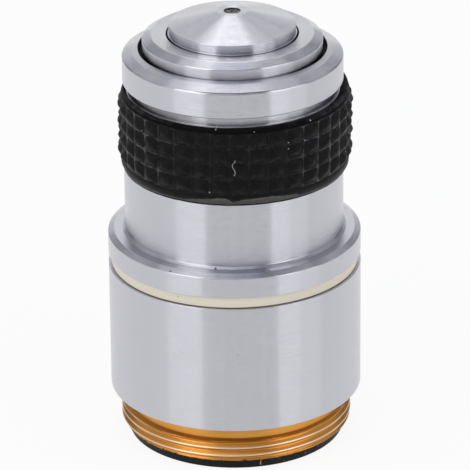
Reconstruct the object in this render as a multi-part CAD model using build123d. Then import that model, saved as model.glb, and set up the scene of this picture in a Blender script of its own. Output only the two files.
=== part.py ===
from build123d import *
import math
import os

# Short spring-loaded oil-immersion microscope objective, in millimetres.
# It stands on its thread end with the nose up. The optical axis is +Z, and the
# origin is the centre of the plain rim at the foot.

# Fits shared by the pieces
seat_clearance = 0.02       # between pieces that screw or slip into each other
guide_clearance = 0.04      # running fit of the sliding nose in its guide
stop_gap = 0.02             # left at the stop that the spring pushes against
cement_line = 0.01          # thickness of the cement between two lenses
overrun = 1.0               # how far a cutting shape reaches past the metal

# Main sleeve: the plain outer shell
sleeve_radius = 11.0
sleeve_wall = 0.9
sleeve_height = 11.55
sleeve_edge = 0.08
undercut_depth = 0.3        # so that only the outer ring of the shoulder seats
undercut_gap = 0.08
ledge_overhang = 0.8
ledge_thickness = 1.0
tube_end_gap = 0.3
shim_thickness = 0.2
shim_width = 1.2

# Thread mount: brass tube with the standard objective thread
shoulder_width = 0.88       # how far the sleeve overhangs the thread
pilot_step = 0.67
pilot_height = 0.88
thread_height = 2.12
thread_lead = 0.3
thread_depth = 0.32
relief_height = 1.32
mount_tube_step = 0.92
mount_tube_wall = 1.2
mount_tube_height = 4.9
mount_bore_depth = 6.5
mount_throat_step = 1.0
rim_break = 0.1

# Rear baffle inside the thread mount
baffle_thickness = 0.9
baffle_hole_radius = 3.2

# Colour ring in the groove between the two sleeves
ring_height = 0.88
ring_recess = 0.25
ring_shadow_gap = 0.14

# Front sleeve: flange, waist, grip seat, neck and collar in one turning
spigot_wall = 1.35
flange_height = 1.83
flange_bevel_height = 0.3
flange_bevel_width = 0.515
waist_step = 1.51
waist_height = 5.96
waist_fillet_width = 0.22
waist_fillet_height = 0.16
grip_seat_step = 0.29
neck_step = 0.2
neck_height = 0.5
collar_overhang = 0.5
collar_height = 2.3
collar_bevel_width = 0.9
collar_bevel_height = 0.55
collar_mouth_gap = 0.37
collar_mouth_depth = 1.1
guide_wall = 1.41
guide_length = 11.25

# Rubber grip: a moulded ring with rows of blunt pyramids
grip_lip_thickness = 0.42
grip_lip_height = 0.9
grip_lip_bevel = 0.3
grip_valley_thickness = 0.58
grip_furrow_width = 0.16
grip_furrow_step = 0.02
grip_tooth_depth = 0.37
grip_tip_width = 0.3
grip_row_pitch = 1.39
grip_rows = 4
grip_columns = 37
grip_turn_degrees = -3.1
grip_rim_thickness = 0.65
grip_rim_height = 0.76
grip_rim_edge = 0.16
grip_rim_slope = 0.2

# Sliding nose barrel
travel = 2.0
barrel_wall = 2.75
nose_stand = 0.9
nose_lip_width = 2.07
nose_bevel_width = 0.77
nose_bevel_height = 0.43
nose_recess_depth = 1.0
cell_socket_depth = 1.9
web_overhang = 1.4
web_thickness = 0.78
stop_clearance = 0.3
stop_flange_height = 1.18
tail_step = 0.55
tail_overhang = 0.2

# Return spring and the ring that holds it in
spring_wire_radius = 0.35
spring_wire_sides = 8       # flats that stand for the wire's round section
spring_side_gap = 0.5
spring_turns = 6.5
retainer_inset = 0.9
retainer_thickness = 1.2
retainer_width = 2.55
spanner_slot_width = 1.2
spanner_slot_depth = 0.5

# Guide screw that keeps the nose from turning
screw_height = 3.4
screw_radius = 0.7
screw_head_radius = 1.1
screw_head_height = 0.5
screw_head_sink = 0.1
screw_tip_gap = 0.15
screw_slot_width = 0.3
screw_slot_depth = 0.25
guide_slot_depth = 0.9
guide_slot_clearance = 0.05
guide_slot_end_gap = 0.3

# Front lens and the conical cell that holds it
cell_side_gap = 0.23
cell_stand = 0.84
cone_height = 1.14
cone_tip_radius = 1.36
lens_hole_radius = 0.71
front_lip = 0.08
front_lens_radius = 0.95
front_lens_overhang = 0.05
front_lens_edge = 0.31
pocket_depth = 0.45
cell_crown = 0.96
pocket_flare = 0.53
cell_spigot_length = 1.68

# Meniscus lens behind the front lens, in its own small cell
meniscus_cell_share = 0.64          # of the stack's bore
meniscus_cell_length = 2.1
meniscus_cell_mouth_share = 0.75    # of the small cell's radius
meniscus_cell_mouth_depth = 0.5
meniscus_share = 0.6                # of the small cell's radius
meniscus_sink = 0.05
meniscus_edge = 0.55
meniscus_front_curve_share = -2.1   # of the lens radius
meniscus_rear_curve_share = -1.37
meniscus_seat_width = 0.4
meniscus_seat_height = 0.7

# Front doublet: a crown lens cemented to a flint lens
front_doublet_share = 0.68          # of the stack's bore
front_doublet_ledge = 0.4
front_doublet_lip = 0.68
front_doublet_front_curve_share = 2.65      # of the lens radius
front_doublet_cement_curve_share = -1.41
front_crown_edge = 0.52
front_flint_centre = 0.8
front_doublet_skirt = 0.3

# Rear doublet
rear_doublet_share = 0.8            # of the stack's bore
rear_doublet_ledge = 0.4
rear_doublet_lip = 0.75
rear_doublet_front_curve_share = 2.75       # of the lens radius
rear_doublet_cement_curve_share = -1.63
rear_crown_edge = 0.67
rear_flint_centre = 1.0
rear_doublet_skirt = 0.3

# Spacers and the ring that locks the stack
middle_spacer_length = 2.6
middle_spacer_wall = 1.08
rear_spacer_length = 1.8
rear_spacer_wall = 0.78
lock_ring_length = 1.2
lock_ring_wall = 0.78

# Radii of the thread mount and the sleeves, from the outer shell inwards
thread_radius = sleeve_radius - shoulder_width
pilot_radius = thread_radius - pilot_step
relief_radius = thread_radius - thread_depth
mount_tube_radius = thread_radius - mount_tube_step
mount_bore_radius = mount_tube_radius - mount_tube_wall
mount_throat_radius = mount_bore_radius - mount_throat_step
undercut_radius = thread_radius + undercut_gap
ledge_radius = mount_tube_radius - ledge_overhang
spigot_radius = sleeve_radius - sleeve_wall
shim_inner_radius = spigot_radius - shim_width
chamber_radius = spigot_radius - spigot_wall
waist_radius = sleeve_radius - waist_step
grip_seat_radius = waist_radius - grip_seat_step
neck_radius = grip_seat_radius - neck_step
collar_radius = neck_radius + collar_overhang

# Radii of the rubber grip, from its seat outwards
grip_lip_radius = grip_seat_radius + grip_lip_thickness
grip_valley_radius = grip_seat_radius + grip_valley_thickness
grip_tip_radius = grip_valley_radius + grip_tooth_depth
grip_rim_radius = grip_seat_radius + grip_rim_thickness

# Radii of the sliding barrel and what it carries, from its guide inwards
guide_bore_radius = grip_seat_radius - guide_wall
nose_radius = guide_bore_radius - guide_clearance
collar_mouth_radius = nose_radius + collar_mouth_gap
stop_flange_radius = chamber_radius - stop_clearance
tail_radius = nose_radius - tail_step
nose_recess_radius = nose_radius - nose_lip_width
cell_radius = nose_recess_radius - cell_side_gap
stack_bore_radius = nose_radius - barrel_wall
stack_radius = stack_bore_radius - seat_clearance
web_radius = stack_bore_radius - web_overhang
pocket_flare_radius = front_lens_radius + seat_clearance + pocket_flare
meniscus_cell_radius = stack_bore_radius * meniscus_cell_share
meniscus_cell_mouth_radius = meniscus_cell_radius * meniscus_cell_mouth_share
meniscus_radius = meniscus_cell_radius * meniscus_share
meniscus_front_curve = meniscus_radius * meniscus_front_curve_share
meniscus_rear_curve = meniscus_radius * meniscus_rear_curve_share
front_doublet_radius = stack_bore_radius * front_doublet_share
front_doublet_hole_radius = front_doublet_radius - front_doublet_ledge
front_doublet_front_curve = front_doublet_radius * front_doublet_front_curve_share
front_doublet_cement_curve = front_doublet_radius * front_doublet_cement_curve_share
rear_doublet_radius = stack_bore_radius * rear_doublet_share
rear_doublet_hole_radius = rear_doublet_radius - rear_doublet_ledge
rear_doublet_front_curve = rear_doublet_radius * rear_doublet_front_curve_share
rear_doublet_cement_curve = rear_doublet_radius * rear_doublet_cement_curve_share

# Heights along the axis, from the foot up
thread_top = pilot_height + thread_height
shoulder_z = thread_top + relief_height
undercut_floor = shoulder_z + undercut_depth
mount_tube_top = shoulder_z + mount_tube_height
ledge_bottom = mount_tube_top + tube_end_gap
ledge_top = ledge_bottom + ledge_thickness
spigot_bottom = ledge_top + shim_thickness
sleeve_top = shoulder_z + sleeve_height
flange_bottom = sleeve_top + ring_shadow_gap + ring_height
flange_top = flange_bottom + flange_height + flange_bevel_height
grip_bottom = flange_top + waist_height
grip_rows_bottom = grip_bottom + grip_lip_height
grip_rows_top = grip_rows_bottom + grip_rows * grip_row_pitch
grip_top = grip_rows_top + grip_rim_height
collar_bottom = grip_top + neck_height
collar_edge = collar_bottom + collar_height
collar_top = collar_edge + collar_bevel_height
guide_top = collar_top - collar_mouth_depth
chamber_top = guide_top - guide_length

# Heights of the nose and of what it carries, from the collar up
nose_edge = collar_top + nose_stand
nose_top = nose_edge + nose_bevel_height
recess_floor = nose_top - nose_recess_depth
socket_floor = recess_floor - cell_socket_depth
web_bottom = socket_floor - web_thickness
cell_band_top = nose_top + cell_stand
tip_z = cell_band_top + cone_height
cavity_top = tip_z - cell_crown
stop_flange_top = chamber_top - stop_gap
stop_flange_bottom = stop_flange_top - stop_flange_height

# Places of the spring, its retainer and the guide screw
retainer_bottom = spigot_bottom + retainer_inset
retainer_top = retainer_bottom + retainer_thickness
retainer_hole_radius = chamber_radius - retainer_width
spring_radius = chamber_radius - spring_side_gap - spring_wire_radius
screw_z = grip_bottom + screw_height


def turned(corners):
    """A solid turned about the optical axis from (radius, height) corners."""
    outline = Polyline(*[(radius, 0, height) for radius, height in corners], close=True)
    return revolve(make_face(outline), Axis.Z)


def ring(inner, outer, bottom, top):
    """A plain turned ring or tube."""
    return turned([(inner, bottom), (outer, bottom), (outer, top), (inner, top)])


def sag(curve, reach):
    """How far a spherical surface has fallen away at a distance from the axis."""
    if curve == 0:
        return 0
    depth = abs(curve) - math.sqrt(curve ** 2 - reach ** 2)
    return math.copysign(depth, curve)


def lens_face(edge_z, curve, rim):
    """The half outline of one lens surface, from the axis out to the rim."""
    vertex = (0, 0, edge_z + sag(curve, rim))
    end = (rim, 0, edge_z)
    if curve == 0:
        return Line(vertex, end)
    middle = (rim / 2, 0, edge_z + sag(curve, rim) - sag(curve, rim / 2))
    return ThreePointArc(vertex, middle, end)


def lens(top, edge, rim, front_curve, rear_curve):
    """A lens with its front edge at a height. Curves bulge forward if positive."""
    front = lens_face(top, front_curve, rim)
    rear = lens_face(top - edge, rear_curve, rim)
    side = Line(front @ 1, rear @ 1)
    axis_line = Line(rear @ 0, front @ 0)
    return revolve(make_face([front, side, rear, axis_line]), Axis.Z)


def spanner_slots(bottom, reach):
    """A bar across the axis that cuts two spanner slots into a ring's rear face."""
    bar = Box(2 * (reach + overrun), spanner_slot_width, spanner_slot_depth + overrun)
    return Pos(0, 0, bottom + (spanner_slot_depth - overrun) / 2) * bar


def make_thread_mount():
    return turned([
        (mount_bore_radius + rim_break, 0),
        (pilot_radius - rim_break, 0),
        (pilot_radius, rim_break),
        (pilot_radius, pilot_height),
        (relief_radius, pilot_height),
        (thread_radius, pilot_height + thread_lead),
        (thread_radius, thread_top),
        (relief_radius, thread_top),
        (relief_radius, undercut_floor),
        (mount_tube_radius, undercut_floor),
        (mount_tube_radius, mount_tube_top),
        (mount_throat_radius, mount_tube_top),
        (mount_throat_radius, mount_bore_depth),
        (mount_bore_radius, mount_bore_depth),
        (mount_bore_radius, rim_break),
    ])


def make_rear_baffle():
    outer = mount_bore_radius - seat_clearance
    return ring(baffle_hole_radius, outer, mount_bore_depth - baffle_thickness, mount_bore_depth)


def make_main_sleeve():
    tube_bore = mount_tube_radius + seat_clearance
    spigot_bore = spigot_radius + seat_clearance
    return turned([
        (tube_bore, undercut_floor),
        (undercut_radius, undercut_floor),
        (undercut_radius, shoulder_z),
        (sleeve_radius - sleeve_edge, shoulder_z),
        (sleeve_radius, shoulder_z + sleeve_edge),
        (sleeve_radius, sleeve_top - sleeve_edge),
        (sleeve_radius - sleeve_edge, sleeve_top),
        (spigot_bore, sleeve_top),
        (spigot_bore, ledge_top),
        (ledge_radius, ledge_top),
        (ledge_radius, ledge_bottom),
        (tube_bore, ledge_bottom),
    ])


def make_parfocal_shim():
    return ring(shim_inner_radius, spigot_radius, ledge_top, spigot_bottom)


def make_colour_ring():
    inner = spigot_radius + seat_clearance
    outer = sleeve_radius - ring_recess
    return ring(inner, outer, flange_bottom - ring_height, flange_bottom)


def make_front_sleeve():
    body = turned([
        (chamber_radius, spigot_bottom),
        (spigot_radius, spigot_bottom),
        (spigot_radius, flange_bottom),
        (sleeve_radius, flange_bottom),
        (sleeve_radius, flange_bottom + flange_height),
        (sleeve_radius - flange_bevel_width, flange_top),
        (waist_radius + waist_fillet_width, flange_top),
        (waist_radius, flange_top + waist_fillet_height),
        (waist_radius, grip_bottom),
        (grip_seat_radius, grip_bottom),
        (grip_seat_radius, grip_top),
        (neck_radius, grip_top),
        (neck_radius, collar_bottom),
        (collar_radius, collar_bottom),
        (collar_radius, collar_edge),
        (collar_radius - collar_bevel_width, collar_top),
        (collar_mouth_radius, collar_top),
        (collar_mouth_radius, guide_top),
        (guide_bore_radius, guide_top),
        (guide_bore_radius, chamber_top),
        (chamber_radius, chamber_top),
    ])
    return body - screw_shape(seat_clearance, overrun)


def screw_shape(clearance, outward):
    """The guide screw's head and shank, grown by a clearance, along +Y."""
    head_top = grip_seat_radius - screw_head_sink
    head_bottom = head_top - screw_head_height - clearance
    tip = nose_radius - guide_slot_depth + screw_tip_gap
    head_length = head_top + outward - head_bottom
    head = Cylinder(screw_head_radius + clearance, head_length)
    shank = Cylinder(screw_radius + clearance, head_bottom - tip)
    facing = Rot(90, 0, 0)
    placed_head = Pos(0, head_bottom + head_length / 2, screw_z) * facing * head
    placed_shank = Pos(0, (head_bottom + tip) / 2, screw_z) * facing * shank
    return placed_head + placed_shank


def make_guide_screw():
    head_top = grip_seat_radius - screw_head_sink
    slot = Box(
        2 * (screw_head_radius + overrun),
        2 * screw_slot_depth,
        screw_slot_width,
    )
    return screw_shape(0, 0) - Pos(0, head_top, screw_z) * slot


def grip_outline():
    """The grip's section: lip, a zigzag of blunt teeth, and the sloping rim."""
    inner = grip_seat_radius + seat_clearance
    corners = [
        (inner, grip_bottom),
        (grip_lip_radius, grip_bottom),
        (grip_valley_radius, grip_bottom + grip_lip_bevel),
        (grip_valley_radius, grip_rows_bottom),
    ]
    for row in range(grip_rows):
        top = grip_rows_bottom + (row + 1) * grip_row_pitch
        middle = top - grip_row_pitch / 2
        corners += [
            (grip_tip_radius, middle - grip_tip_width / 2),
            (grip_tip_radius, middle + grip_tip_width / 2),
            (grip_valley_radius, top),
        ]
    corners += [
        (grip_rim_radius, grip_rows_top + grip_rim_edge),
        (grip_rim_radius - grip_rim_slope, grip_top),
        (inner, grip_top),
    ]
    return corners


def grip_furrow():
    """The flared bar that cuts one upright furrow, pointing along -Y."""
    floor = grip_valley_radius + grip_furrow_step
    half_tooth = math.pi * grip_tip_radius / grip_columns - grip_tip_width / 2
    flare = (half_tooth - grip_furrow_width / 2) / (grip_tip_radius - floor)
    reach = grip_tip_radius + overrun
    half_reach = half_tooth + flare * overrun
    section = Polyline(
        (-grip_furrow_width / 2, -floor),
        (grip_furrow_width / 2, -floor),
        (half_reach, -reach),
        (-half_reach, -reach),
        close=True,
    )
    bar = extrude(make_face(section), grip_rows * grip_row_pitch)
    return Pos(0, 0, grip_rows_bottom) * bar


def make_rubber_grip():
    furrow = grip_furrow()
    step = 360 / grip_columns
    furrows = [Rot(0, 0, grip_turn_degrees + step * column) * furrow for column in range(grip_columns)]
    return turned(grip_outline()) - furrows


def make_spring_retainer():
    outer = chamber_radius - seat_clearance
    body = ring(retainer_hole_radius, outer, retainer_bottom, retainer_top)
    return body - spanner_slots(retainer_bottom, outer)


def make_return_spring():
    bottom = retainer_top + spring_wire_radius + seat_clearance
    top = stop_flange_bottom - spring_wire_radius - seat_clearance
    path = Helix((top - bottom) / spring_turns, top - bottom, spring_radius)
    section = RegularPolygon(spring_wire_radius, spring_wire_sides)
    wire = Plane(origin=path @ 0, z_dir=path % 0) * section
    return Pos(0, 0, bottom) * sweep(wire, path=path, is_frenet=True)


def make_nose_barrel():
    stack_end = stack_heights()["lock_ring"][0]
    tail_bottom = stack_end - tail_overhang
    body = turned([
        (stack_bore_radius, tail_bottom),
        (tail_radius, tail_bottom),
        (tail_radius, stop_flange_bottom),
        (stop_flange_radius, stop_flange_bottom),
        (stop_flange_radius, stop_flange_top),
        (nose_radius, stop_flange_top),
        (nose_radius, nose_edge),
        (nose_radius - nose_bevel_width, nose_top),
        (nose_recess_radius, nose_top),
        (nose_recess_radius, recess_floor),
        (stack_bore_radius, recess_floor),
        (stack_bore_radius, socket_floor),
        (web_radius, socket_floor),
        (web_radius, web_bottom),
        (stack_bore_radius, web_bottom),
    ])
    return body - guide_slot()


def guide_slot():
    """The straight slot in the barrel wall that the guide screw's tip runs in."""
    low = screw_z - screw_radius - guide_slot_end_gap
    high = screw_z + screw_radius + travel + guide_slot_end_gap
    width = 2 * (screw_radius + guide_slot_clearance)
    floor = nose_radius - guide_slot_depth
    bar = Box(width, guide_slot_depth + overrun, high - low)
    return Pos(0, floor + (guide_slot_depth + overrun) / 2, (low + high) / 2) * bar


def make_front_lens_cell():
    cavity = meniscus_cell_radius + seat_clearance
    pocket = front_lens_radius + seat_clearance
    lens_top = tip_z - front_lip
    spigot_end = recess_floor - cell_spigot_length
    return turned([
        (lens_hole_radius, tip_z),
        (cone_tip_radius, tip_z),
        (cell_radius, cell_band_top),
        (cell_radius, recess_floor),
        (stack_radius, recess_floor),
        (stack_radius, spigot_end),
        (cavity, spigot_end),
        (cavity, cavity_top),
        (pocket_flare_radius, cavity_top),
        (pocket, lens_top - pocket_depth),
        (pocket, lens_top),
        (lens_hole_radius, lens_top),
    ])


def make_front_lens():
    curve = front_lens_radius + front_lens_overhang
    return lens(tip_z - front_lip, front_lens_edge, front_lens_radius, 0, -curve)


def make_meniscus_cell():
    bore = meniscus_radius + seat_clearance
    seat_z = cavity_top - meniscus_sink - meniscus_edge - seat_clearance
    seat_radius = bore - meniscus_seat_width
    bottom = cavity_top - meniscus_cell_length
    return turned([
        (bore, cavity_top),
        (meniscus_cell_radius, cavity_top),
        (meniscus_cell_radius, bottom),
        (meniscus_cell_mouth_radius, bottom),
        (seat_radius, bottom + meniscus_cell_mouth_depth),
        (seat_radius, seat_z - meniscus_seat_height),
        (bore, seat_z),
    ])


def make_meniscus_lens():
    return lens(
        cavity_top - meniscus_sink,
        meniscus_edge,
        meniscus_radius,
        meniscus_front_curve,
        meniscus_rear_curve,
    )


def doublet_top(cell_top, lip, rim, hole, front_curve):
    """Height of a doublet's front edge once it rests against its cell's lip."""
    bulge = sag(front_curve, rim) - sag(front_curve, hole)
    return cell_top - lip - bulge - seat_clearance


def doublet_bottom(top, rim, cement_curve, crown_edge, flint_centre):
    """Height of a doublet's flat rear face."""
    return top - crown_edge - cement_line + sag(cement_curve, rim) - flint_centre


def stack_heights():
    """Bottom and top of each ring below the web, in the order they are loaded."""
    front_top = doublet_top(web_bottom, front_doublet_lip, front_doublet_radius,
                            front_doublet_hole_radius, front_doublet_front_curve)
    front_bottom = doublet_bottom(front_top, front_doublet_radius, front_doublet_cement_curve,
                                  front_crown_edge, front_flint_centre) - front_doublet_skirt
    rear_cell_top = front_bottom - middle_spacer_length
    rear_top = doublet_top(rear_cell_top, rear_doublet_lip, rear_doublet_radius,
                           rear_doublet_hole_radius, rear_doublet_front_curve)
    rear_bottom = doublet_bottom(rear_top, rear_doublet_radius, rear_doublet_cement_curve,
                                 rear_crown_edge, rear_flint_centre) - rear_doublet_skirt
    rear_spacer_bottom = rear_bottom - rear_spacer_length
    return {
        "front_doublet": (front_bottom, web_bottom, front_top),
        "middle_spacer": (rear_cell_top, front_bottom),
        "rear_doublet": (rear_bottom, rear_cell_top, rear_top),
        "rear_spacer": (rear_spacer_bottom, rear_bottom),
        "lock_ring": (rear_spacer_bottom - lock_ring_length, rear_spacer_bottom),
    }


def doublet_cell(bottom, top, rim, hole, lip):
    """A tube with a lip at the front that a doublet is pushed against."""
    bore = rim + seat_clearance
    return turned([
        (bore, bottom),
        (stack_radius, bottom),
        (stack_radius, top),
        (hole, top),
        (hole, top - lip),
        (bore, top - lip),
    ])


def make_doublet(name, rim, hole, lip, front_curve, cement_curve, crown_edge, flint_centre):
    """The cell, crown lens and flint lens of one doublet, by node name."""
    bottom, top, lens_top = stack_heights()[name + "_doublet"]
    flint_top = lens_top - crown_edge - cement_line
    flint_edge = flint_centre - sag(cement_curve, rim)
    return {
        name + "_doublet_cell": doublet_cell(bottom, top, rim, hole, lip),
        name + "_crown_lens": lens(lens_top, crown_edge, rim, front_curve, cement_curve),
        name + "_flint_lens": lens(flint_top, flint_edge, rim, cement_curve, 0),
    }


def make_spacer(name, wall):
    bottom, top = stack_heights()[name]
    return ring(stack_radius - wall, stack_radius, bottom, top)


def make_cell_lock_ring():
    bottom, top = stack_heights()["lock_ring"]
    body = ring(stack_radius - lock_ring_wall, stack_radius, bottom, top)
    return body - spanner_slots(bottom, stack_radius)


def make_nodes():
    """Every separate piece, by node name, from the foot up."""
    nodes = {
        "thread_mount": make_thread_mount(),
        "rear_baffle": make_rear_baffle(),
        "main_sleeve": make_main_sleeve(),
        "parfocal_shim": make_parfocal_shim(),
        "colour_ring": make_colour_ring(),
        "front_sleeve": make_front_sleeve(),
        "guide_screw": make_guide_screw(),
        "rubber_grip": make_rubber_grip(),
        "spring_retainer": make_spring_retainer(),
        "return_spring": make_return_spring(),
        "nose_barrel": make_nose_barrel(),
        "front_lens_cell": make_front_lens_cell(),
        "front_lens": make_front_lens(),
        "meniscus_cell": make_meniscus_cell(),
        "meniscus_lens": make_meniscus_lens(),
        "middle_spacer": make_spacer("middle_spacer", middle_spacer_wall),
        "rear_spacer": make_spacer("rear_spacer", rear_spacer_wall),
        "cell_lock_ring": make_cell_lock_ring(),
    }
    nodes.update(make_doublet(
        "front", front_doublet_radius, front_doublet_hole_radius, front_doublet_lip,
        front_doublet_front_curve, front_doublet_cement_curve,
        front_crown_edge, front_flint_centre,
    ))
    nodes.update(make_doublet(
        "rear", rear_doublet_radius, rear_doublet_hole_radius, rear_doublet_lip,
        rear_doublet_front_curve, rear_doublet_cement_curve,
        rear_crown_edge, rear_flint_centre,
    ))
    return nodes


os.makedirs("parts", exist_ok=True)
for node, solid in make_nodes().items():
    export_step(solid, f"parts/{node}.step")
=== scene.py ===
import math

import bmesh
import bpy
import numpy as np
from mathutils import Matrix, Vector


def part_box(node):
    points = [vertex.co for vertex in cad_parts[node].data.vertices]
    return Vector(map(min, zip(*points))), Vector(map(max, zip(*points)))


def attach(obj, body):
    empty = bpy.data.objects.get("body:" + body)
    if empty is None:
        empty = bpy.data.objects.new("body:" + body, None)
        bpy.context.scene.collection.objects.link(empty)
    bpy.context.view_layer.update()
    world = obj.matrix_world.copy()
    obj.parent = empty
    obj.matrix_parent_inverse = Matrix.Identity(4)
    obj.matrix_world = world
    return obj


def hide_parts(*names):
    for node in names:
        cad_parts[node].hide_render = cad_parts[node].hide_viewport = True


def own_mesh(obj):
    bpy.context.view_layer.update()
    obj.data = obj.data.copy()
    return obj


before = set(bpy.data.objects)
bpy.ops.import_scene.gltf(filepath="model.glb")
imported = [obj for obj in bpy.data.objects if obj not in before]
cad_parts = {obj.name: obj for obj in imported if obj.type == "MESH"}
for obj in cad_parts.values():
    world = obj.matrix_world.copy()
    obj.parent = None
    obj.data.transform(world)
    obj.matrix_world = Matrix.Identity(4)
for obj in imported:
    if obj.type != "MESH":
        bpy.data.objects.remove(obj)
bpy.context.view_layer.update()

# Short spring-loaded oil-immersion objective, standing on its thread end. Lengths below
# are in millimetres and are turned into metres where a mesh or a lamp is made.
MM = 0.001
ROUND_STEPS = 288           # divisions of a full turn on every turned piece
EDGE_STEPS = 4              # divisions of each broken edge
POLISH_WIDTH = 0.002        # spacing of the polishing lines under the chrome
LATHE_SLANT = 1.37          # share of the radius in the coordinate along the tool's path
SPECK_CYLINDER = 10         # radius of the cylinder that the rubber's specks are laid on
LAMP_AIM = 20               # height that the lamps are aimed at
CARD_DISTANCE = 900
CARD_POINTS = 9             # points along each side of a card


def box_mm(node):
    """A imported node's low and high corner in millimetres."""
    low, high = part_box(node)
    return [c / MM for c in low], [c / MM for c in high]


# Sizes of the turned pieces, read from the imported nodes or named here
sleeve_low, sleeve_high = box_mm("main_sleeve")
mount_top = box_mm("thread_mount")[1][2]
ring_low, ring_high = box_mm("colour_ring")
front_low, front_high = box_mm("front_sleeve")
grip_low, grip_high = box_mm("rubber_grip")
nose_low, nose_high = box_mm("nose_barrel")
cell_low, cell_high = box_mm("front_lens_cell")
spring_low, spring_high = box_mm("return_spring")

sleeve_radius = sleeve_high[0]
shoulder_z, sleeve_top = sleeve_low[2], sleeve_high[2]
thread_radius = 10.12
pilot_radius = 9.45
pilot_height = 0.88
thread_top = 3.0
thread_pitch = 0.7056       # 36 threads to the inch
thread_depth = 0.3
thread_lead = 0.3
thread_turn = 0.41          # share of a pitch by which the crests stand higher in front
thread_crest_share = 0.09   # flat crest, as a share of half a pitch
thread_flank_share = 0.78   # sloping flank, as a share of half a pitch
thread_runout_slope = 2.4   # rise of the radius per height where the thread runs out
pilot_bevel = 0.1
relief_radius = 9.66
undercut_floor = 4.62
undercut_radius = 10.2
mount_tube_radius = 9.2
mount_bore_radius = 8.0
mount_bore_depth = 6.5
mount_throat_radius = 7.0
ledge_radius = 8.4
ledge_bottom, ledge_top = 9.52, 10.52
slip_gap = 0.02

spigot_radius = 10.1
spigot_bottom = front_low[2]
chamber_radius = 8.75
chamber_top = 23.2
ring_radius = ring_high[0]
ring_bottom, ring_top = ring_low[2], ring_high[2]
ring_hem = 0.08             # how far the ring's outer edge hangs towards the sleeve
flange_edge = 18.72
flange_top = 19.02
flange_bevel_radius = 10.485
waist_radius = 9.49
waist_foot_radius = 9.71
waist_foot_top = 19.18
grip_bottom, grip_top = grip_low[2], grip_high[2]
grip_seat_radius = 9.2
grip_seat_top = 31.84
neck_radius = 9.0
neck_foot_radius = 9.04
collar_radius = 9.5
collar_bottom, collar_edge, collar_top = 32.7, 35.0, front_high[2]
collar_bevel_radius = 8.6
collar_mouth_radius = 8.12
mouth_shift = 0.29
lip_drop = 0.14             # how far the collar's narrow lip falls away outwards
guide_top = 34.45
guide_bore_radius = 7.79

nose_radius = 7.75
nose_edge, nose_top = 36.45, nose_high[2]
nose_bevel_radius = 6.98
recess_radius = 5.68
recess_floor = 35.88
stack_bore_radius = 5.0
socket_floor, web_bottom = 33.98, 33.2
web_radius = 3.6
stop_radius = 8.45
stop_bottom, stop_top = 22.0, 23.18
tail_radius = 7.2
tail_bottom = nose_low[2]

cell_radius = 5.45
cell_foot_radius, cell_foot_top = 5.54, 36.93
cell_band_top, cell_tip = 37.72, cell_high[2]
cell_tip_radius = 1.36
lens_hole_radius = 0.71
lens_face_z = 38.78
cell_spigot_radius = 4.98
cell_spigot_end = cell_low[2]
cell_cavity_radius = 3.22
cell_cavity_top = 37.9
lens_pocket_radius = 0.97
lens_pocket_end = 38.33
pocket_flare_radius = 1.5

spring_radius = 7.9
spring_wire_radius = 0.35
spring_turns = 6.5


def linear(hex_colour, alpha=1.0):
    """An sRGB hex colour as the linear values that a shader takes."""
    parts = [int(hex_colour[i:i + 2], 16) / 255 for i in (1, 3, 5)]
    curve = [c / 12.92 if c <= 0.04045 else ((c + 0.055) / 1.055) ** 2.4 for c in parts]
    return (*curve, alpha)


COLOURS = {"data_type": "RGBA"}
ROUND_Z = {"direction_type": "RADIAL", "axis": "Z"}


def add(tree, kind, operation=None, settings=None, **sockets):
    """Adds a shader node. Sockets are given by name or by in_NUMBER, as a value or as
    the output of another node."""
    node = tree.nodes.new("ShaderNode" + kind)
    if operation:
        node.operation = operation
    for name, value in (settings or {}).items():
        setattr(node, name, value)
    for name, value in sockets.items():
        key = int(name[3:]) if name.startswith("in_") else name.replace("_", " ")
        socket = node.inputs[key]
        if isinstance(value, bpy.types.NodeSocket):
            tree.links.new(value, socket)
        else:
            socket.default_value = value
    return node


def material(name):
    """A new material, whose node tree is still empty, and that tree."""
    made = bpy.data.materials.new(name)
    made.use_nodes = True
    made.node_tree.nodes.clear()
    return made, made.node_tree


def from_axis(tree, point, centre=(0, 0, 0)):
    """How far a point lies from the upright axis through a centre."""
    gap = add(tree, "VectorMath", "SUBTRACT", in_0=point, in_1=centre)
    flat = add(tree, "VectorMath", "MULTIPLY", in_0=gap.outputs[0], in_1=(1, 1, 0))
    return add(tree, "VectorMath", "LENGTH", in_0=flat.outputs[0]).outputs["Value"]


def lathe_place(tree):
    """Where a point lies on the turned piece, in millimetres: the point itself, its
    radius, its height, and a lathe coordinate that grows along walls, bevels and flat
    faces alike."""
    place = add(tree, "TexCoord").outputs["Object"]
    point = add(tree, "VectorMath", "SCALE", in_0=place, Scale=1 / MM).outputs[0]
    radius = from_axis(tree, point)
    height = add(tree, "SeparateXYZ", in_0=point).outputs["Z"]
    lathe = add(tree, "Math", "MULTIPLY_ADD", in_0=radius, in_1=LATHE_SLANT, in_2=height)
    return point, radius, height, lathe.outputs[0]


def small_marks(tree, point, places):
    """1 on small specks and nicks, and 0 elsewhere. Each is given as its azimuth in
    degrees, its height, its distance from the axis and its own radius."""
    shown = 0.0
    for azimuth, mark_height, reach, mark_radius in places:
        turn = math.radians(azimuth)
        gap = add(tree, "VectorMath", "DISTANCE", in_0=point,
                  in_1=(reach * math.sin(turn), -reach * math.cos(turn), mark_height))
        mark = add(tree, "MapRange", in_0=gap.outputs["Value"], in_1=0.6 * mark_radius,
                   in_2=mark_radius, in_3=1.0, in_4=0.0)
        shown = add(tree, "Math", "MAXIMUM", in_0=shown, in_1=mark.outputs[0]).outputs[0]
    return shown


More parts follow.
